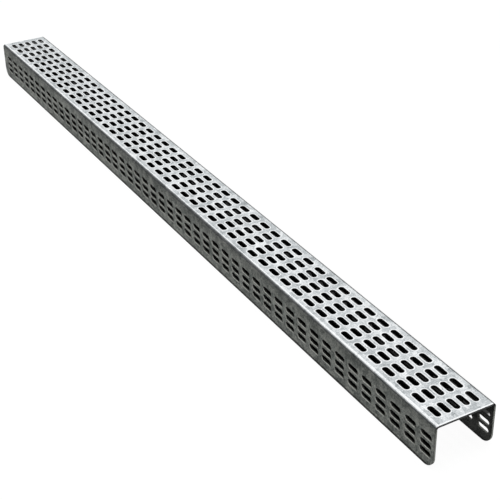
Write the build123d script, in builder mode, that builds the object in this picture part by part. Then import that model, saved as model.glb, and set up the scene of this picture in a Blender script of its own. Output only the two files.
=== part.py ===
from build123d import *
import os

# Perforated cable tray: one length of galvanised sheet, punched flat with rows of slots
# and then folded along two lines into a channel. It lies open side down, its web on top.
# Millimetres. X runs along the tray, Y across it, Z up. The origin is on the floor,
# under the middle of the tray. The +X end is the end nearest the viewer.

# Section
channel_length = 1000.0
channel_width = 62.0  # over the outer faces of the flanges
channel_height = 45.0  # from the flange edges to the web's outer face
sheet_thickness = 2.0
inner_bend_radius = 1.5
flange_corner_radius = 12.0  # lower corners of the flanges, at both ends

# Slots, the same punch in the web and in the flanges
slot_length = 14.0
slot_width = 5.0
slot_pitch = 21.0  # centre to centre along the tray
web_row_gap = 9.75  # centre to centre across the web
upper_row_gap = 9.0  # middle row of a flange to the row above it
lower_row_gap = 8.0  # middle row of a flange to the row below it
end_land = 4.0  # least metal between a slot and the end of the sheet
web_side_land = 3.0  # least metal between a slot of the web and a bend

outer_bend_radius = inner_bend_radius + sheet_thickness
flat_web = channel_width - 2 * outer_bend_radius
flat_flange = channel_height - outer_bend_radius

# The slots that fit between the end lands share one count. The web's pattern is centred
# on the length, and the flanges' pattern starts at the land of the +X end.
end_to_first_slot = end_land + slot_length / 2
slots_along = int((channel_length - 2 * end_to_first_slot) / slot_pitch) + 1
slots_across = int((flat_web - slot_width - 2 * web_side_land) / web_row_gap) + 1
pattern_length = (slots_along - 1) * slot_pitch
flange_pattern_middle = channel_length / 2 - end_to_first_slot - pattern_length / 2

# Heights of the three slot rows in a flange, around the middle of its flat part
middle_row = flat_flange / 2
flange_rows = [middle_row + upper_row_gap, middle_row, middle_row - lower_row_gap]

with BuildPart() as tray_channel:
    # Folded section: a line up one flange, across the web and down the other,
    # rounded at both folds and given the sheet's thickness on its inner side
    with BuildSketch(Plane.YZ.offset(-channel_length / 2)):
        with BuildLine():
            outer_face = FilletPolyline(
                (-channel_width / 2, 0),
                (-channel_width / 2, channel_height),
                (channel_width / 2, channel_height),
                (channel_width / 2, 0),
                radius=outer_bend_radius,
            )
            offset(outer_face, amount=-sheet_thickness, side=Side.RIGHT)
        make_face()
    extrude(amount=channel_length)

    # Rounded lower corners of both flanges, at both ends
    flange_ends = tray_channel.edges().filter_by(Axis.Y).group_by(Axis.Z)[0]
    fillet(flange_ends, radius=flange_corner_radius)

    # Slots of the web
    with BuildSketch(Plane.XY.offset(channel_height)):
        with GridLocations(slot_pitch, web_row_gap, slots_along, slots_across):
            SlotOverall(slot_length, slot_width)
    extrude(amount=-sheet_thickness, mode=Mode.SUBTRACT)

    # Slots of the flanges, each row punched through both, the flanges being mirror images
    with BuildSketch(Plane.XZ.offset(channel_width / 2)):
        for row_height in flange_rows:
            with Locations((flange_pattern_middle, row_height)):
                with GridLocations(slot_pitch, 0, slots_along, 1):
                    SlotOverall(slot_length, slot_width)
    extrude(amount=-channel_width, mode=Mode.SUBTRACT)

tray_channel.part.label = "tray_channel"
os.makedirs("parts", exist_ok=True)
export_step(tray_channel.part, "parts/tray_channel.step")
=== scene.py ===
import bpy
import math
import numpy as np
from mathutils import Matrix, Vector


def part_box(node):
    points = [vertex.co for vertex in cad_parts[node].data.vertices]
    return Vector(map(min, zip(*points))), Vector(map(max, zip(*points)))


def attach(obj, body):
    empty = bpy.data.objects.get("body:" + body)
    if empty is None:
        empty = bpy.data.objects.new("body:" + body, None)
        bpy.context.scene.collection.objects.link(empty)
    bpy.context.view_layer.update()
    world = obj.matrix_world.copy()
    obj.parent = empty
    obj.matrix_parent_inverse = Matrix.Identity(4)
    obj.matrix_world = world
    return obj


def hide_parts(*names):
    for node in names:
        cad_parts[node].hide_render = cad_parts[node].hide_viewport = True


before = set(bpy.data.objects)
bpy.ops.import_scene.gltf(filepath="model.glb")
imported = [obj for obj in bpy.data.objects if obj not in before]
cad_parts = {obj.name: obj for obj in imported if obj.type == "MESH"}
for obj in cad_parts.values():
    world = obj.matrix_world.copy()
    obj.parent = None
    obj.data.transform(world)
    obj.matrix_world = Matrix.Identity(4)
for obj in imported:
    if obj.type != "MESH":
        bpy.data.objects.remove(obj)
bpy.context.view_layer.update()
print("frame loaded:", sorted(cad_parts))

# The tray: one punched and folded sheet, worked out on its flat blank.
# u runs along the blank, s across its outer face from the middle, d down into the sheet.
# Metres. The overall sizes come from the frame.
tray = {
    "sheet": 0.002,
    "innerBend": 0.0015,
    "cornerRadius": 0.012,
    "slotLength": 0.014,
    "slotWidth": 0.005,
    "pitch": 0.021,
    "webGap": 0.00975,        # between the rows of the web
    "upperGap": 0.009,        # middle row of a flange to the row above it
    "lowerGap": 0.008,        # middle row of a flange to the row below it
    "endLand": 0.004,
    "webSideLand": 0.003,     # least metal between a slot of the web and a bend
    "countSlack": 0.000001,   # of a pitch, so that rounding loses no slot
    "edgeRoll": 0.00035,      # radius that the punch and the shear leave on the outer face
    "endSteps": 12,           # segments round each end of a slot, a multiple of four
    "sideSteps": 2,           # segments along each straight side of a slot
    "bendSteps": 6,
    "rollSteps": 2,
    "cornerSteps": 12,
    "farFromSlot": 1.0,       # what a point that is on no slot's cell has as its distance to one
    "lowMark": 0.9,           # lowSide right below a flange's slot, and its opposite above it; it places the painted light round the slots
    "farMark": 0.45,          # more beside its far end, and less beside its near one
    "weld": 0.000002,         # points as near as this become one
    "weldShift": 0.37,        # of that, so that no round size lies on a border of its grid
}

boxLow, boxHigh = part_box("tray_channel")
length, width, height = (boxHigh[i] - boxLow[i] for i in range(3))
outerBend = tray["innerBend"] + tray["sheet"]
flatWeb = width / 2 - outerBend           # from the middle to the start of a bend
flatFlange = height - outerBend
bendArc = outerBend * math.pi / 2

# Places of the slots: the web's pattern is centred, and the flanges' starts at the near end's land
endToSlot = tray["endLand"] + tray["slotLength"] / 2
slotRoom = 2 * flatWeb - tray["slotWidth"] - 2 * tray["webSideLand"]
slotsAlong = int((length - 2 * endToSlot) / tray["pitch"] + tray["countSlack"]) + 1
slotsAcross = int(slotRoom / tray["webGap"] + tray["countSlack"]) + 1
webCentres = (np.arange(slotsAlong) - (slotsAlong - 1) / 2) * tray["pitch"]
webRows = (np.arange(slotsAcross) - (slotsAcross - 1) / 2) * tray["webGap"]
flangeShift = length / 2 - endToSlot - (slotsAlong - 1) * tray["pitch"] / 2
flangeCentres = webCentres + flangeShift
webHalf = tray["webGap"] * slotsAcross / 2         # from the middle to the side of the last cells
middleRow = flatFlange / 2
flangeRows = [middleRow + tray["upperGap"], middleRow, middleRow - tray["lowerGap"]]
flangeLines = [                                    # heights of the borders between their cells
    flangeRows[0] + tray["upperGap"] / 2,
    (flangeRows[0] + flangeRows[1]) / 2,
    (flangeRows[1] + flangeRows[2]) / 2,
    flangeRows[2] - tray["lowerGap"] / 2,
]
toMm = 1000.0
nearEnd = length / 2 * toMm               # the near end's x in millimetres


def foldAngle(s):
    # How far the sheet has turned at a place across the blank: not at all up to |s| = flatWeb,
    # then (|s| - flatWeb) / outerBend, up to a right angle.
    return np.clip((np.abs(s) - flatWeb) / outerBend, 0, math.pi / 2)


def foldSheet(u, s, d):
    # Position of blank points. The web is flat, a bend is an arc around its inner centre, and what
    # is past the bend hangs straight down.
    side = np.sign(s)
    turn = foldAngle(s)
    drop = np.clip(np.abs(s) - flatWeb - bendArc, 0, None)
    y = side * (np.minimum(np.abs(s), flatWeb) + (outerBend - d) * np.sin(turn))
    z = height - outerBend + (outerBend - d) * np.cos(turn) - drop
    return np.stack([u + 0 * s, y, z], axis=-1)


def foldNormal(s, n):
    # Normals given as (along, across, outward) on the blank, turned with the sheet by the same angle.
    side = np.where(s < 0, -1.0, 1.0)
    turn = foldAngle(s)
    across = n[..., 1] * np.cos(turn) + n[..., 2] * side * np.sin(turn)
    up = n[..., 2] * np.cos(turn) - n[..., 1] * side * np.sin(turn)
    return np.stack([n[..., 0], across, up], axis=-1)


def flangeS(z, side):
    # Place across the blank of a height on a flange's outer face.
    return side * (flatWeb + bendArc + flatFlange - z)


def flangeZ(s):
    # The other way round: the height of a place across the blank.
    return height - outerBend - (np.abs(s) - flatWeb - bendArc)


def endLimit(z, inset):
    # How far along the blank reaches at a height on a flange: a quarter circle cuts its lower corner.
    centre = tray["cornerRadius"]
    radius = centre - inset
    below = np.clip(centre - z, 0, radius)
    return length / 2 - centre + np.sqrt(radius ** 2 - below ** 2)


class Sheet:
    # Gathers patches of the surface: points with their own normals and values, and faces.
    # The values are the distance to the slot, the depth in a cut, the share of the bend's turn,
    # 1 on the inner face, and the mark of the side of a flange's slot.
    def __init__(self):
        self.points, self.normals, self.values, self.faces = [], [], [], []
        self.count = 0

    def add(self, u, s, d, n, slotEdge, cutDepth, faces, lowSide=0.0):
        u, s, d = np.broadcast_arrays(u, s, d)
        n = np.broadcast_to(n, u.shape + (3,))
        turn = foldAngle(s) / (math.pi / 2)
        inner = (n[..., 2] < -0.5) * 1.0
        values = np.stack(np.broadcast_arrays(slotEdge, cutDepth, turn, inner, lowSide), axis=-1)
        self.points.append(foldSheet(u, s, d).reshape(-1, 3))
        self.normals.append(foldNormal(s, n).reshape(-1, 3))
        self.values.append(values.reshape(-1, 5))
        self.faces.append(faces + self.count)
        self.count += u.size


def gridFaces(rows, columns, closed, grids=1):
    # Four corners of each cell of a grid: row i to i + 1, column j to j + 1, the last column
    # joined to the first when the grid is closed. Repeated for several grids stored in a row.
    i, j = np.meshgrid(np.arange(rows - 1), np.arange(columns if closed else columns - 1), indexing="ij")
    k = (j + 1) % columns
    this, following = i * columns, (i + 1) * columns
    cells = np.stack([this + j, this + k, following + k, following + j], axis=-1)
    step = rows * columns * np.arange(grids)
    return (cells.reshape(1, -1, 4) + step[:, None, None]).reshape(-1, 4)


def zipperFaces(first, second, firstAt, secondAt):
    # Triangles between two rows of points that don't match: both rows are read in order of their
    # place along the blank, and each step forward in one row makes a triangle with the other's point.
    steps = np.concatenate([firstAt[1:], secondAt[1:]])
    owner = np.concatenate([np.zeros(len(first) - 1, int), np.ones(len(second) - 1, int)])
    owner = owner[np.lexsort((owner, steps))]
    onFirst = np.cumsum(owner == 0)
    onSecond = np.cumsum(owner == 1)
    a = first[np.where(owner == 0, onFirst - 1, onFirst)]
    b = second[np.where(owner == 1, onSecond - 1, onSecond)]
    c = np.where(owner == 0, first[onFirst], second[onSecond])
    return np.stack([a, b, c], axis=-1)


def slotOutline():
    # Outline of a slot with half-round ends: straight sides at half the width, and at each end
    # a half circle of that radius. Also the outward directions, and its place on a cell's
    # outline, one to one: the corners of the cell stand at 45 degrees on the half circles.
    ends, sides = tray["endSteps"], tray["sideSteps"]
    r = tray["slotWidth"] / 2
    straight = tray["slotLength"] / 2 - r
    angle = np.linspace(-math.pi / 2, math.pi / 2, ends + 1)
    rightEnd = np.stack([straight + r * np.cos(angle), r * np.sin(angle)], axis=-1)
    rightOut = np.stack([np.cos(angle), np.sin(angle)], axis=-1)
    run = np.linspace(-straight, straight, sides + 1)[1:-1]
    lowerSide = np.stack([run, np.full(len(run), -r)], axis=-1)
    lowerOut = np.tile([0.0, -1.0], (len(run), 1))
    points = np.concatenate([lowerSide, rightEnd, -lowerSide, -rightEnd])
    outward = np.concatenate([lowerOut, rightOut, -lowerOut, -rightOut])
    points = np.roll(points, ends // 4 + 1, axis=0)      # the lower left 45 degrees comes first
    outward = np.roll(outward, ends // 4 + 1, axis=0)
    along = np.linspace(-1, 1, ends // 2 + sides + 1)[:-1]
    up = np.linspace(-1, 1, ends // 2 + 1)[:-1]
    cell = np.concatenate([
        np.stack([along, np.full(len(along), -1.0)], axis=-1),
        np.stack([np.full(len(up), 1.0), up], axis=-1),
        np.stack([-along, np.full(len(along), 1.0)], axis=-1),
        np.stack([np.full(len(up), -1.0), -up], axis=-1),
    ])
    return points, outward, cell


outlinePoints, outlineOut, outlineCell = slotOutline()


def cellEdges(centres, inset):
    # Lengthwise edges of the cells of a row: half-way between the slots, and at both ends
    # the end of the blank, less the inset.
    middles = (centres[1:] + centres[:-1]) / 2
    end = length / 2 - inset
    return np.concatenate([[-end], middles, [end]])


def stationsAlong(centres, inset):
    # The places of the cells' outline points along a row, from one end of the blank to the other.
    edges = cellEdges(centres, inset)
    steps = np.linspace(0, 1, tray["endSteps"] // 2 + tray["sideSteps"] + 1)[:-1]
    inner = (edges[:-1, None] + (edges[1:] - edges[:-1])[:, None] * steps).ravel()
    return np.append(inner, edges[-1])


def cutProfile():
    # A cut from the outer face to the inner one, over a quarter circle and straight down. Each of
    # its rings has a share of the way out to the cut, a depth, and an angle that its normal leans by.
    turns = np.linspace(0, math.pi / 2, tray["rollSteps"] + 1)
    share = np.append(np.sin(turns), 1)
    depth = np.append(tray["edgeRoll"] * (1 - np.cos(turns)), tray["sheet"])
    lean = np.append(turns, math.pi / 2)
    return share, depth, lean


def addSlots(sheet, centres, rowAt, cellSides, inset, face):
    # A row of cells, each between its outline and its slot. On the outer face the rings run from
    # the outline over the rolled edge and down the wall, and on the inner face back to the outline.
    edges = cellEdges(centres, inset)
    low, high = edges[:-1, None], edges[1:, None]
    cellU = (low + high) / 2 + (high - low) / 2 * outlineCell[:, 0]
    lowS, highS = cellSides
    cellS = (lowS + highS) / 2 + (highS - lowS) / 2 * outlineCell[:, 1] + 0 * cellU
    onFlange = abs(rowAt) > flatWeb
    if onFlange:
        limit = endLimit(flangeZ(cellS), inset)
        cellU = np.clip(cellU, -limit, limit)
    wallU = centres[:, None] + outlinePoints[:, 0]
    wallS = rowAt + outlinePoints[:, 1] + 0 * wallU
    cellEdge = np.hypot(cellU - wallU, cellS - wallS)
    if face == "outer":
        share, depth, lean = cutProfile()
        setBack = tray["edgeRoll"] * (1 - share)
        u = np.concatenate([cellU[:, None], wallU[:, None] + setBack[:, None] * outlineOut[:, 0]], axis=1)
        s = np.concatenate([cellS[:, None], wallS[:, None] + setBack[:, None] * outlineOut[:, 1]], axis=1)
        d = np.append(0, depth)[None, :, None]
        lean = np.append(0, lean)[None, :, None, None]
        toHole = np.concatenate([-outlineOut, np.zeros((len(outlineOut), 1))], axis=1)
        n = toHole * np.sin(lean) + np.array([0, 0, 1.0]) * np.cos(lean)
        ringEdge = np.broadcast_to(setBack[:, None], (len(centres), len(setBack), cellEdge.shape[1]))
        slotEdge = np.concatenate([cellEdge[:, None], ringEdge], axis=1)
        cutDepth = d / tray["sheet"]
    else:
        u = np.stack([wallU, cellU], axis=1)
        s = np.stack([wallS, cellS], axis=1)
        d = tray["sheet"]
        n = np.array([0, 0, -1.0])
        slotEdge = np.stack([0 * cellEdge, cellEdge], axis=1)
        cutDepth = 0.0
    lowSide = 0.0
    if onFlange:
        lowSide = tray["lowMark"] * outlineOut[:, 1] * np.sign(rowAt) - tray["farMark"] * outlineOut[:, 0]
    faces = gridFaces(u.shape[1], u.shape[2], True, len(centres))
    sheet.add(u, s, d, n, slotEdge, cutDepth, faces, lowSide)


def addZipper(sheet, firstU, secondU, firstS, secondS, depth, normal, forward):
    # The strip of triangles between two rows of points that lie at firstS and secondS across the
    # blank. A triangle is stored as four corners with the last one twice.
    u = np.concatenate([firstU, secondU])
    s = np.concatenate([firstS + 0 * firstU, secondS + 0 * secondU])
    first = np.arange(len(firstU))
    second = len(firstU) + np.arange(len(secondU))
    faces = zipperFaces(first, second, firstU, secondU)
    faces = faces[:, ::-1] if forward else faces
    faces = np.concatenate([faces, faces[:, -1:]], axis=1)
    sheet.add(u, s, depth, normal, tray["farFromSlot"], 0.0, faces)


def lowerEdge(inset):
    # Lower edge of a flange, along and up: a straight run between two corner arcs, each of which
    # goes up to the lowest line of the slots' cells.
    centre = tray["cornerRadius"]
    radius = centre - inset
    last = math.acos((centre - flangeLines[-1]) / radius)
    angle = np.linspace(0, last, tray["cornerSteps"] + 1)[:-1]
    arcU = length / 2 - centre + radius * np.sin(angle)
    arcZ = centre - radius * np.cos(angle)
    run = np.linspace(-arcU[0], arcU[0], slotsAlong + 1)[1:-1]
    u = np.concatenate([-arcU[::-1], run, arcU])
    z = np.concatenate([arcZ[::-1], np.full(len(run), arcZ[0]), arcZ])
    return u, z


def addFace(sheet, face):
    # One face of the sheet, outer or inner: the slots' cells, the flat strips, the bends,
    # and the rows of triangles that join the web's pattern to the flanges' pattern.
    outer = face == "outer"
    inset = tray["edgeRoll"] if outer else 0.0
    depth = 0.0 if outer else tray["sheet"]
    normal = np.array([0, 0, 1.0 if outer else -1.0])
    webU = stationsAlong(webCentres, inset)
    flangeU = stationsAlong(flangeCentres, inset)
    edgeU, edgeZ = lowerEdge(inset)
    for rowAt in webRows:
        cellSides = (rowAt - tray["webGap"] / 2, rowAt + tray["webGap"] / 2)
        addSlots(sheet, webCentres, rowAt, cellSides, inset, face)
    for side in (-1, 1):
        forward = (side > 0) == outer
        for rowZ, top, bottom in zip(flangeRows, flangeLines, flangeLines[1:]):
            cellSides = sorted([flangeS(top, side), flangeS(bottom, side)])
            addSlots(sheet, flangeCentres, flangeS(rowZ, side), cellSides, inset, face)
        # Strip of the web beside its slots, and the bend
        across = np.append(webHalf, flatWeb + np.linspace(0, bendArc, tray["bendSteps"] + 1))
        u, s = np.meshgrid(webU, side * across)
        faces = gridFaces(len(across), len(webU), False)
        faces = faces if forward else faces[:, ::-1]
        sheet.add(u, s, depth, normal, tray["farFromSlot"], 0.0, faces)
        # Between the bend and the flange's slots
        bendEnd, slotsTop = side * (flatWeb + bendArc), flangeS(flangeLines[0], side)
        addZipper(sheet, webU, flangeU, bendEnd, slotsTop, depth, normal, forward)
        # Between the flange's slots and its lower edge, with the rounded corners
        limit = endLimit(flangeLines[-1], inset)
        lineU = np.clip(flangeU, -limit, limit)
        slotsBottom, edgeS = flangeS(flangeLines[-1], side), flangeS(edgeZ, side)
        addZipper(sheet, lineU, edgeU, slotsBottom, edgeS, depth, normal, forward)


def edgeLoop(inset):
    # The blank's outline, with a point for each point of the faces: across the near end from the
    # front flange to the back one, along the back flange's lower edge, across the far end, and
    # along the front flange's lower edge.
    part = np.linspace(0, 1, tray["endSteps"] // 2 + 1)[:-1]
    upward = flangeLines[::-1]
    flange = [low + (high - low) * part for low, high in zip(upward, upward[1:])]
    flange = np.concatenate(flange + [upward[-1:]])
    bend = flatWeb + bendArc - np.linspace(0, bendArc, tray["bendSteps"] + 1)
    halfEnd = np.concatenate([flangeS(flange, 1), bend])
    web = np.linspace(-webHalf, webHalf, slotsAcross * (tray["endSteps"] // 2) + 1)
    endS = np.concatenate([-halfEnd, web, halfEnd[::-1]])
    z = np.where(np.abs(endS) > flatWeb + bendArc, flangeZ(endS), height)
    endU = endLimit(z, inset)
    edgeU, edgeZ = lowerEdge(inset)
    edgeS = flangeS(edgeZ, 1)
    u = np.concatenate([endU, edgeU[::-1], -endU[::-1], edgeU])
    s = np.concatenate([endS, edgeS, endS[::-1], -edgeS])
    return u, s


def addCutEdge(sheet):
    # The sheared edge all round the blank: from the outer face over a small roll and down to the
    # inner face, straight across the sheet.
    insideU, insideS = edgeLoop(tray["edgeRoll"])
    edgeU, edgeS = edgeLoop(0.0)
    outU, outS = edgeU - insideU, edgeS - insideS
    size = np.hypot(outU, outS)
    share, depth, lean = cutProfile()
    share, depth = share[:, None], depth[:, None]
    lean = lean[:, None, None]
    u = insideU + outU * share
    s = insideS + outS * share
    toSide = np.stack([outU / size, outS / size, 0 * outU], axis=-1)
    n = toSide * np.sin(lean) + np.array([0, 0, 1.0]) * np.cos(lean)
    faces = gridFaces(len(share), len(insideU), True)
    sheet.add(u, s, depth, n, tray["farFromSlot"], -depth / tray["sheet"], faces[:, ::-1])


def buildTray():
    sheet = Sheet()
    addFace(sheet, "outer")
    addFace(sheet, "inner")
    addCutEdge(sheet)
    points, normals = np.concatenate(sheet.points), np.concatenate(sheet.normals)
    values, faces = np.concatenate(sheet.values), np.concatenate(sheet.faces)
    # Points of neighbouring patches that lie on each other become one
    keys = np.floor(points / tray["weld"] + tray["weldShift"]).astype(np.int64)
    _, keep, same = np.unique(keys, axis=0, return_index=True, return_inverse=True)
    same = same.ravel()
    triangle = faces[:, 2] == faces[:, 3]
    sides = np.where(triangle, 3, 4)
    corners = faces[np.stack([np.ones(len(faces), bool)] * 3 + [~triangle], axis=1)]
    mesh = bpy.data.meshes.new("punched_channel")
    mesh.vertices.add(len(keep))
    mesh.vertices.foreach_set("co", points[keep].astype(np.float32).ravel())
    mesh.loops.add(len(corners))
    mesh.loops.foreach_set("vertex_index", same[corners].astype(np.int32))
    mesh.polygons.add(len(faces))
    starts = np.concatenate([[0], np.cumsum(sides)[:-1]])
    mesh.polygons.foreach_set("loop_start", starts.astype(np.int32))
    mesh.polygons.foreach_set("use_smooth", np.ones(len(faces), bool))
    mesh.update(calc_edges=True)
    for place, name in enumerate(("slotEdge", "cutDepth", "foldTurn", "innerFace", "lowSide")):
        layer = mesh.attributes.new(name, "FLOAT", "CORNER")
        layer.data.foreach_set("value", values[corners, place].astype(np.float32))
    mesh.normals_split_custom_set(normals[corners].tolist())
    mesh.validate()
    piece = bpy.data.objects.new("punched_channel", mesh)
    bpy.context.scene.collection.objects.link(piece)
    print("tray:", len(keep), "points,", int((sides - 2).sum()), "triangles")
    return piece


channel = buildTray()
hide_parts("tray_channel")
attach(channel, "root")


# Finish of the sheet: zinc spangle and cloud, with painted light and shade on top: pale rims painted as
# highlights round the slots and ends, a painted highlight along the front fold, and painted shade on the
# bends, the flanges, in the slots and inside the channel. Millimetres. A pair is where a change starts and
# where it ends, and a shade is the share of the colour that is left.
zinc = {
    "dark": (0.27, 0.295, 0.305, 1),
    "middle": (0.565, 0.595, 0.61, 1),
    "light": (0.93, 0.95, 0.96, 1),
    # painted shade: the flanges a little darker and warmer than the web
    "flangeShadeTint": (0.95, 0.96, 0.875, 1),
    "spangle": 5.5,
    "ragged": {"Scale": 0.35, "Detail": 2.0},        # noise that makes the crystals' borders ragged
    "raggedReach": 4.0,
    "cloud": {"Scale": 1 / 16.0, "Detail": 3.0, "Roughness": 0.6},
    "grain": {"Scale": 1 / 1.5, "Detail": 2.0, "Roughness": 0.6},
    "spangleShare": 0.45,
    "cloudShare": 0.9,
    "grainShare": 1.3,
    "flangeContrast": 1.35,   # how much stronger all three are on the flanges
    "flangeTurn": (0.5, 0.9),       # of a bend, where the flange's finish begins
    "middleY": (-1.0, 1.0),         # from what is in front to what is at the back
    "slotLow": (0.2, 0.6),          # of lowSide, where the lower side of a slot begins
    # pale rim round the slots and ends, a painted highlight; on the front flange only below its slots
    "rimWidth": 1.5,
    "rimBlur": 0.25,
    "rimHighlight": 0.9,
    "flangeEndSkip": 5.0,           # keeps the rim off the flanges' ends
    "foldBefore": (0.9, 0.3),       # painted highlight along the front fold, from ahead of the front bend
    "foldTurn": (0.24, 0.14),       # of the bend, where the painted highlight ends
    "foldWander": ((-150.0, 0.0, -0.03, -0.13), (200.0, 420.0, 0.0, 0.28)),  # from x to x, of the bend
    "foldHighlight": 0.55,
    "wallHighlight": 0.75,               # painted light on the lower cut faces of the front flange's slots, and on the flanges' ends
    "wallFrom": (0.0, 0.04),        # of the sheet, where that brightness begins
    "wallBright": 0.12,             # and how deep it reaches
    "wallBlur": 0.06,
    "wallShade": 0.06,              # painted shade deep in a slot
    "mouthFromEnd": (32.0, 26.0),   # less painted shade inside the near slots of the back flange
    "mouthBelow": (26.0, 25.0),
    "mouthShade": 0.25,
    "lipWidth": 0.6,                # painted shade: a dark line between the rim and the slot
    "lipBlur": 0.08,
    "lipShade": 0.08,
    "lipGrowth": (350.0, -400.0, 0.0, 0.6),  # from x to x, wider on the flanges
    "bandFront": (0.16, 0.42),      # painted shade: a dark band across the front bend, of its turn
    "bandBack": (0.03, 0.15),
    "bandEnd": (1.0, 0.65),
    "bandShade": 0.17,
    "stripDepth": 8.0,              # painted shade on a flange just below its bend
    "stripShade": 0.72,
    "lowEdge": (3.2, 2.2),          # heights of the painted dark line along a flange's lower edge
    "lowEdgeShade": 0.08,
    "innerFromEnd": (50.0, 80.0),
    "innerShades": (0.14, 0.05),    # painted shade inside the channel near its ends, and further in
    "shearFrom": (-0.02, -0.1),     # of the sheet, on its sheared edge
    "shearTop": (-0.2, -0.28),      # below the painted dark line along the outer face
    "shearBottom": (-0.98, -0.85),  # above the one along the inner face
    "shearLine": 0.5,
    "shearShade": 0.2,              # painted shade on the web's ends
    "roughness": (0.58, 0.36),      # of the darkest and the lightest zinc
    "bumpStrength": 0.25,
    "bumpDepth": 0.0002,            # metres
    "metallic": 0.05,
    "specular": 0.05,
}


def addNode(tree, kind, inputs=(), **settings):
    # A node with its settings, and its inputs by name or number: a socket is linked, a value is set.
    node = tree.nodes.new(kind)
    for name, value in settings.items():
        setattr(node, name, value)
    for key, value in dict(inputs).items():
        if isinstance(value, bpy.types.NodeSocket):
            tree.links.new(value, node.inputs[key])
        else:
            node.inputs[key].default_value = value
    return node


def maths(tree, operation, a, b=0.0):
    return addNode(tree, "ShaderNodeMath", {0: a, 1: b}, operation=operation).outputs[0]


def chain(tree, operation, values):
    # The values taken together one after the other.
    result = values[0]
    for value in values[1:]:
        result = maths(tree, operation, result, value)
    return result


def times(tree, *values):
    return chain(tree, "MULTIPLY", values)


def plus(tree, *values):
    return chain(tree, "ADD", values)


def minus(tree, a, b):
    return maths(tree, "SUBTRACT", a, b)


def rampBetween(tree, value, start, end, low=0.0, high=1.0):
    # From low at start to high at end, flat outside. start may be above end.
    inputs = {"Value": value, "From Min": start, "From Max": end, "To Min": low, "To Max": high}
    return addNode(tree, "ShaderNodeMapRange", inputs).outputs["Result"]


def mixBetween(tree, mask, low, high):
    # low where the mask is 0 and high where it is 1.
    return rampBetween(tree, mask, 0.0, 1.0, low, high)


def scaled(tree, vector, scale):
    return addNode(tree, "ShaderNodeVectorMath", {0: vector, "Scale": scale}, operation="SCALE").outputs[0]


def attribute(tree, name):
    return addNode(tree, "ShaderNodeAttribute", attribute_name=name).outputs["Fac"]


def placeInMm(tree):
    # The place on the object as a vector, and its three parts.
    inMm = scaled(tree, addNode(tree, "ShaderNodeTexCoord").outputs["Object"], toMm)
    axes = addNode(tree, "ShaderNodeSeparateXYZ", {0: inMm}).outputs
    return inMm, axes["X"], axes["Y"], axes["Z"]


def sheetPlaces(tree):
    # What the finish asks about a place on the sheet: where it is in millimetres, how far from a
    # slot and an end, how deep in a cut, and masks from 0 to 1 for the regions.
    inMm, x, y, z = placeInMm(tree)
    turn = attribute(tree, "foldTurn")
    onFlange = rampBetween(tree, turn, *zinc["flangeTurn"])
    back = rampBetween(tree, y, *zinc["middleY"])
    onFront = times(tree, onFlange, minus(tree, 1.0, back))
    lowSide = times(tree, rampBetween(tree, attribute(tree, "lowSide"), *zinc["slotLow"]), onFront)
    fromEnd = minus(tree, nearEnd, maths(tree, "ABSOLUTE", x))
    # cutDepth runs from 0 at the outer face to 1 at the inner face in a slot, and to -1 on a sheared edge
    cut = attribute(tree, "cutDepth")
    return {
        "inMm": inMm, "x": x, "y": y, "z": z, "turn": turn, "cut": cut,
        "onFlange": onFlange,
        "back": back,
        "lowSide": lowSide,
        "highSide": minus(tree, onFront, lowSide),
        "fromSlot": times(tree, attribute(tree, "slotEdge"), toMm),
        "fromEnd": plus(tree, fromEnd, times(tree, onFlange, zinc["flangeEndSkip"])),
        "wander": plus(tree, *(rampBetween(tree, x, *wander) for wander in zinc["foldWander"])),
        "shearMiddle": times(
            tree, rampBetween(tree, cut, *zinc["shearTop"]), rampBetween(tree, cut, *zinc["shearBottom"])),
    }


def noise(tree, at, name):
    return addNode(tree, "ShaderNodeTexNoise", {"Vector": at["inMm"], **zinc[name]}).outputs


def mottle(tree, at):
    # Shade of the zinc around 0.5: crystals with ragged borders and a shade each, cloud and grain.
    moved = scaled(tree, noise(tree, at, "ragged")["Color"], zinc["raggedReach"])
    bent = addNode(tree, "ShaderNodeVectorMath", {0: at["inMm"], 1: moved}, operation="ADD").outputs[0]
    cells = addNode(tree, "ShaderNodeTexVoronoi", {"Vector": bent, "Scale": 1 / zinc["spangle"]})
    spangle = addNode(tree, "ShaderNodeSeparateColor", {0: cells.outputs["Color"]}).outputs[0]
    cloud, grain = noise(tree, at, "cloud")[0], noise(tree, at, "grain")[0]
    contrast = mixBetween(tree, at["onFlange"], 1.0, zinc["flangeContrast"])
    shade = 0.5
    for value, share in ((spangle, "spangleShare"), (cloud, "cloudShare"), (grain, "grainShare")):
        shade = plus(tree, times(tree, minus(tree, value, 0.5), zinc[share], contrast), shade)
    return shade


def paintedHighlights(tree, at):
    # Painted highlights that lift the shade: the pale rims of slots and ends, the bright line along the front
    # fold, and the bright part of the cut faces.
    nearest = maths(tree, "MINIMUM", at["fromSlot"], at["fromEnd"])
    rim = rampBetween(tree, nearest, zinc["rimWidth"] + zinc["rimBlur"], zinc["rimWidth"] - zinc["rimBlur"])
    rim = times(tree, rim, minus(tree, 1.0, at["highSide"]))
    foldStart, foldFull = (before - flatWeb * toMm for before in zinc["foldBefore"])
    fold = rampBetween(tree, minus(tree, at["turn"], at["wander"]), *zinc["foldTurn"])
    fold = times(tree, rampBetween(tree, at["y"], foldStart, foldFull), fold)
    wall = times(tree, at["lowSide"], rampBetween(tree, at["cut"], *zinc["wallFrom"]))
    wall = plus(tree, wall, times(tree, at["shearMiddle"], at["onFlange"]))
    return plus(
        tree,
        times(tree, rim, zinc["rimHighlight"]),
        times(tree, fold, zinc["foldHighlight"]),
        times(tree, wall, zinc["wallHighlight"]),
    )


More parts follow.
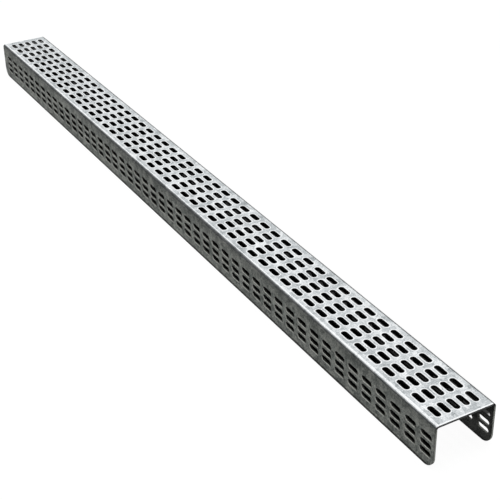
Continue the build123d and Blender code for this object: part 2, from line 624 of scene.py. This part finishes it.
def colourLeft(tree, at):
    # Share of the colour that is left where shade is painted, each place as its mask and its shade.
    front = minus(tree, 1.0, at["back"])
    # Painted shade: a dark band across each bend
    bandPairs = zip(zinc["bandFront"], zinc["bandBack"])
    bandStart, bandFull = (mixBetween(tree, at["back"], *pair) for pair in bandPairs)
    band = rampBetween(tree, minus(tree, at["turn"], times(tree, at["wander"], front)), bandStart, bandFull)
    band = times(tree, band, rampBetween(tree, at["turn"], *zinc["bandEnd"]))
    flangeTop = flatFlange * toMm
    strip = rampBetween(tree, at["z"], flangeTop - zinc["stripDepth"], flangeTop)
    lowEdge = rampBetween(tree, at["z"], *zinc["lowEdge"])
    # Painted shade in the slots: darker with depth, later in the front flange, and less at the mouth in the
    # back one
    mouthStart, mouthFull = (nearEnd - fromEnd for fromEnd in zinc["mouthFromEnd"])
    mouth = times(
        tree,
        rampBetween(tree, at["x"], mouthStart, mouthFull),
        times(tree, at["back"], at["onFlange"]),
        rampBetween(tree, at["z"], *zinc["mouthBelow"]),
    )
    darkFrom = times(tree, at["lowSide"], zinc["wallBright"])
    deep = rampBetween(tree, at["cut"], darkFrom, plus(tree, darkFrom, zinc["wallBlur"]))
    deepShade = mixBetween(tree, mouth, zinc["wallShade"], zinc["mouthShade"])
    # Painted shade at each slot's edge, wider on the flanges towards the far end
    wider = times(tree, rampBetween(tree, at["x"], *zinc["lipGrowth"]), at["onFlange"])
    lip = rampBetween(
        tree, minus(tree, at["fromSlot"], wider),
        zinc["lipWidth"] + zinc["lipBlur"], zinc["lipWidth"] - zinc["lipBlur"])
    lip = times(tree, lip, minus(tree, 1.0, maths(tree, "MAXIMUM", at["lowSide"], mouth)))
    # Painted shade on the sheared edge: a dark line along each side, and darker on the web's ends
    shear = rampBetween(tree, at["cut"], *zinc["shearFrom"])
    shearShade = mixBetween(tree, at["onFlange"], zinc["shearShade"], 1.0)
    shearShade = times(tree, shearShade, mixBetween(tree, at["shearMiddle"], zinc["shearLine"], 1.0))
    innerShade = rampBetween(tree, at["fromEnd"], *zinc["innerFromEnd"], *zinc["innerShades"])
    places = (
        (band, zinc["bandShade"]),
        (times(tree, strip, at["onFlange"]), zinc["stripShade"]),
        (times(tree, lowEdge, at["onFlange"]), zinc["lowEdgeShade"]),
        (lip, zinc["lipShade"]),
        (attribute(tree, "innerFace"), innerShade),
        (deep, deepShade),
        (shear, shearShade),
    )
    return times(tree, *(mixBetween(tree, mask, 1.0, shade) for mask, shade in places))


def galvanisedSteel():
    material = bpy.data.materials.new("galvanised_steel")
    material.use_nodes = True
    tree = material.node_tree
    shader = tree.nodes["Principled BSDF"]
    at = sheetPlaces(tree)
    shade = plus(tree, mottle(tree, at), paintedHighlights(tree, at))
    colours = addNode(tree, "ShaderNodeValToRGB", {0: shade})
    colours.color_ramp.elements[0].color = zinc["dark"]
    colours.color_ramp.elements[1].color = zinc["light"]
    middle = colours.color_ramp.elements.new(0.5)
    middle.color = zinc["middle"]
    # The flanges get a darker, warmer copy of the zinc's colour: painted shade on the sides.
    tints = {0: at["onFlange"], 6: (1, 1, 1, 1), 7: zinc["flangeShadeTint"]}     # 6 and 7 are its two colours
    tint = addNode(tree, "ShaderNodeMix", tints, data_type="RGBA").outputs[2]
    both = {0: colours.outputs["Color"], 1: tint}
    tinted = addNode(tree, "ShaderNodeVectorMath", both, operation="MULTIPLY").outputs[0]
    colour = scaled(tree, tinted, colourLeft(tree, at))
    tree.links.new(colour, shader.inputs["Base Color"])
    tree.links.new(mixBetween(tree, shade, *zinc["roughness"]), shader.inputs["Roughness"])
    heights = {"Strength": zinc["bumpStrength"], "Distance": zinc["bumpDepth"], "Height": shade}
    tree.links.new(addNode(tree, "ShaderNodeBump", heights).outputs["Normal"], shader.inputs["Normal"])
    shader.inputs["Metallic"].default_value = zinc["metallic"]
    shader.inputs["Specular IOR Level"].default_value = zinc["specular"]
    return material


channel.data.materials.append(galvanisedSteel())
print("finish: galvanised steel")


# The floor's shadow. On a white floor the lamps' own shadow is too faint for the slots to look
# dark, so the floor is dark where they look through: between the flanges, a strip behind them,
# and a tail past the far end. Millimetres. A pair is where the shadow ends and where it is full.
shadow = {
    "front": (-30.0, -29.0),          # y, along the front flange
    "farSide": (-30.0, -27.0),        # and past the far end along a line that slants away from it
    "farSlope": 0.312,
    "back": (72.0, 59.0),
    "far": (-616.5, -606.0),
    "tail": (-505.0, -600.0, 1.0, 0.96),   # weaker from x to x
    "insideBack": (29.5, 28.5),
    "insideNear": (458.0, 449.0),     # it stops short of the mouth
    "mouth": (-29.7, -32.2),          # but for a corner behind the front flange, along a slanting line
    "mouthSlope": 0.846,
    "mouthNear": (490.0, 487.0),
    "behindFront": (27.0, 28.0),
    "behindWeaker": (40.0, 59.0, 1.0, 0.95),  # from y to y
    "behindNear": (451.0, 446.0),
    "behindStep": (46.0, 54.0, 0.0, 18.0),    # from y to y it comes nearer by so much
    "behindEnd": (529.5, 526.0),      # behind the back flange's end, along a slanting line
    "behindSlope": 1.052,
}


def shadowUnderTray(tree):
    # 1 in the shadow and 0 outside.
    _, x, y, _ = placeInMm(tree)
    toMouth = plus(tree, y, times(tree, minus(tree, x, nearEnd), shadow["mouthSlope"]))
    corner = rampBetween(tree, toMouth, *shadow["mouth"])
    corner = times(tree, corner, rampBetween(tree, x, *shadow["mouthNear"]))
    inside = maths(tree, "MAXIMUM", rampBetween(tree, x, *shadow["insideNear"]), corner)
    inside = times(tree, inside, rampBetween(tree, y, *shadow["insideBack"]))
    nearer = minus(tree, x, rampBetween(tree, y, *shadow["behindStep"]))
    pastEnd = plus(tree, x, times(tree, y, shadow["behindSlope"]))
    behind = times(
        tree,
        rampBetween(tree, nearer, *shadow["behindNear"]),
        rampBetween(tree, pastEnd, *shadow["behindEnd"]),
        rampBetween(tree, y, *shadow["behindWeaker"]),
        rampBetween(tree, y, *shadow["behindFront"]),
    )
    pastFar = plus(tree, y, times(tree, plus(tree, x, nearEnd), shadow["farSlope"]))
    return times(
        tree,
        maths(tree, "MAXIMUM", inside, behind),
        rampBetween(tree, y, *shadow["front"]),
        rampBetween(tree, pastFar, *shadow["farSide"]),
        rampBetween(tree, y, *shadow["back"]),
        rampBetween(tree, x, *shadow["tail"]),
        rampBetween(tree, x, *shadow["far"]),
    )


# Studio: two wide lamps overhead, the main one behind the tray and a narrower one just in front
# of it. The floor and the world are white to the eye and in reflections, and nearly dark to all
# other light. Metres and watts.
studio = {
    "floorSize": 60.0,
    "floorDepth": 0.0002,     # below the tray
    "floorGlow": 0.95,
    "floorSeen": 0.08,        # colour of the floor to the eye, on top of its glow
    "floorOther": 0.1,        # and to all other light
    "worldOther": 0.035,
    "mainLamp": {"wide": 3.0, "deep": 2.0, "place": (0.0, 1.3, 3.0), "power": 62.0},
    "frontLamp": {"wide": 3.0, "deep": 0.5, "place": (0.2, -0.42, 3.0), "power": 60.0},
}


def seenDirectly(tree):
    # 1 for camera, glossy and transmission rays, and 0 for the rest.
    path = addNode(tree, "ShaderNodeLightPath").outputs
    return chain(tree, "MAXIMUM", (path["Is Camera Ray"], path["Is Glossy Ray"], path["Is Transmission Ray"]))


def makeFloor():
    half, z = studio["floorSize"] / 2, -studio["floorDepth"]
    corners = [(-half, -half, z), (half, -half, z), (half, half, z), (-half, half, z)]
    mesh = bpy.data.meshes.new("floor")
    mesh.from_pydata(corners, [], [(0, 1, 2, 3)])
    floor = bpy.data.objects.new("floor", mesh)
    bpy.context.scene.collection.objects.link(floor)
    material = bpy.data.materials.new("studio_floor")
    material.use_nodes = True
    tree = material.node_tree
    shader = tree.nodes["Principled BSDF"]
    shader.inputs["Roughness"].default_value = 1.0
    shader.inputs["Specular IOR Level"].default_value = 0.0
    direct = seenDirectly(tree)
    lit = minus(tree, 1.0, shadowUnderTray(tree))
    shade = mixBetween(tree, direct, studio["floorOther"], studio["floorSeen"])
    tree.links.new(times(tree, shade, lit), shader.inputs["Base Color"])
    shader.inputs["Emission Color"].default_value = (1, 1, 1, 1)
    tree.links.new(times(tree, direct, studio["floorGlow"], lit), shader.inputs["Emission Strength"])
    mesh.materials.append(material)


def makeWorld():
    world = bpy.data.worlds.new("studio")
    bpy.context.scene.world = world
    world.use_nodes = True
    tree = world.node_tree
    background = tree.nodes["Background"]
    background.inputs["Color"].default_value = (1, 1, 1, 1)
    strength = mixBetween(tree, seenDirectly(tree), studio["worldOther"], 1.0)
    tree.links.new(strength, background.inputs["Strength"])


def makeLamp(name, lampValues):
    # A rectangle that shines straight down.
    light = bpy.data.lights.new(name, "AREA")
    light.shape = "RECTANGLE"
    light.size = lampValues["wide"]
    light.size_y = lampValues["deep"]
    light.energy = lampValues["power"]
    lamp = bpy.data.objects.new(name, light)
    lamp.location = lampValues["place"]
    bpy.context.scene.collection.objects.link(lamp)


makeFloor()
makeWorld()
makeLamp("overhead", studio["mainLamp"])
makeLamp("front", studio["frontLamp"])
print("studio: floor, world and lamps")


# Camera, as fitted to the photograph: where its middle meets the web, and from which side
cameraView = {
    "aim": (0.18225, -0.01842, 0.045),
    "azimuth": 60.693,        # degrees, 0 looks along +Y
    "elevation": 30.480,
    "roll": -1.11,
    "distance": 1.1964,
    "lens": 86.4,             # millimetres
    "sensor": 36,
    "sight": 200,             # metres
}


def makeCamera():
    # It stands at aim + distance * back and looks along -back, with +Z upwards before the roll.
    data = bpy.data.cameras.new("camera")
    data.lens = cameraView["lens"]
    data.sensor_width = cameraView["sensor"]
    data.clip_end = cameraView["sight"]
    camera = bpy.data.objects.new("camera", data)
    bpy.context.scene.collection.objects.link(camera)
    a, e = math.radians(cameraView["azimuth"]), math.radians(cameraView["elevation"])
    back = Vector((math.sin(a) * math.cos(e), -math.cos(a) * math.cos(e), math.sin(e)))
    camera.location = Vector(cameraView["aim"]) + back * cameraView["distance"]
    camera.rotation_euler = back.to_track_quat("Z", "Y").to_euler()
    camera.rotation_euler.rotate_axis("Z", math.radians(cameraView["roll"]))
    bpy.context.scene.camera = camera


makeCamera()
bpy.context.scene.view_settings.view_transform = "Standard"
print("camera: set")
